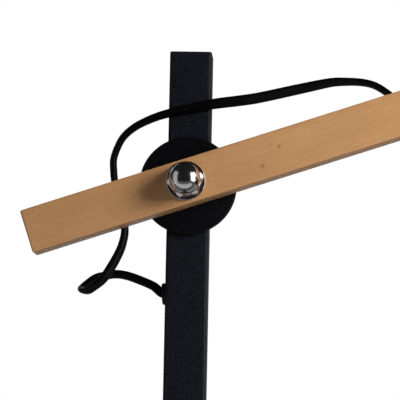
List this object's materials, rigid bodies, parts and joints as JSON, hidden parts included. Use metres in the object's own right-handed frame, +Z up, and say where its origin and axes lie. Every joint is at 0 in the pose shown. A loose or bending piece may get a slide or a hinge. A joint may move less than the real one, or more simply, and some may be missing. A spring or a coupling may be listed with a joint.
{
  "type": "floor lamp",
  "caption": "Floor lamp with a black square post on a round base, a tilting wooden arm on a friction pivot with a domed cap nut, and a swivelling drum shade.",
  "frame": {"origin": "on the floor, at the middle of the base's underside and under the post's axis", "axes": "+Z up along the post, +X the way the arm points, -Y the front, where the domed cap nut is"},
  "size_m": [0.9341, 0.3092, 1.4344],
  "materials": {
    "post_black": "fine textured powder coat",
    "disc_black": "satin",
    "cap_plastic": "matt moulded",
    "grommet_rubber": "matt",
    "flex_black": "satin sheath",
    "arm_wood": "oiled, fine grain",
    "nut_chrome": "mirror polished",
    "steel": "zinc plated",
    "steel_black": "blackened",
    "fibre": "pressed fibre",
    "nylon": "plain moulded",
    "brass": "turned",
    "felt": "pressed felt",
    "terminal_plastic": "moulded",
    "holder_black": "satin moulded",
    "holder_ceramic": "unglazed",
    "shade_wire": "white coated wire",
    "shade_linen": "natural linen weave on a stiff lining",
    "bulb_glass": "opal",
    "bulb_metal": "pressed"
  },
  "bodies": {
    "stand": {"base_plate": "post_black", "base_felt": "felt", "base_screws": "steel", "post_foot_plug": "steel", "terminal_block": "terminal_plastic", "post_tube": "post_black", "post_top_cap": "cap_plastic", "mains_grommet": "grommet_rubber", "post_cord_grommet": "grommet_rubber", "post_flex": "flex_black", "friction_disc": "disc_black", "disc_pins": "steel", "friction_washer": "fibre", "post_spacer": "steel", "pivot_bolt": "steel_black", "rear_washer": "steel_black", "cap_washer": "nut_chrome", "cap_nut": "nut_chrome", "jumper_flex": "flex_black"},
    "arm": {"arm_bar": "arm_wood", "arm_bush": "nylon", "arm_cord_bush": "grommet_rubber", "arm_flex": "flex_black", "groove_cover": "arm_wood", "arm_insert": "brass", "head_nipple": "steel", "knuckle_upper": "steel_black", "knuckle_nut": "steel"},
    "thumbscrew": {"knuckle_screw": "steel_black"},
    "head": {"knuckle_lower": "steel_black", "drop_stem": "steel_black", "lampholder_cap": "holder_black", "lampholder_body": "holder_black", "lampholder_core": "holder_ceramic", "centre_contact": "brass", "shade_nut": "holder_black", "shade_spider": "shade_wire", "shade_bottom_ring": "shade_wire", "shade_fabric": "shade_linen", "bulb_cap": "bulb_metal", "bulb_globe": "bulb_glass"},
    "switch": {"switch_key": "holder_black"}
  },
  "joints": [
    {"name": "arm_tilt", "type": "hinge", "parent": "stand", "child": "arm", "pos_m": [0, -0.0292, 1.2], "axis": [0, -1, 0], "range_deg": [-50, 45], "deforming": ["jumper_flex"]},
    {"name": "head_tilt", "type": "hinge", "parent": "arm", "child": "head", "pos_m": [0.65407, -0.0292, 1.38194], "axis": [0, -1, 0], "range_deg": [-20, 75]},
    {"name": "thumbscrew_turn", "type": "hinge", "parent": "arm", "child": "thumbscrew", "pos_m": [0.65407, -0.0292, 1.38194], "axis": [0, -1, 0], "range_deg": [0, 360]},
    {"name": "switch_turn", "type": "hinge", "parent": "head", "child": "switch", "pos_m": [0.65407, -0.0495, 1.30894], "axis": [0, -1, 0], "range_deg": [0, 90]}
  ]
}
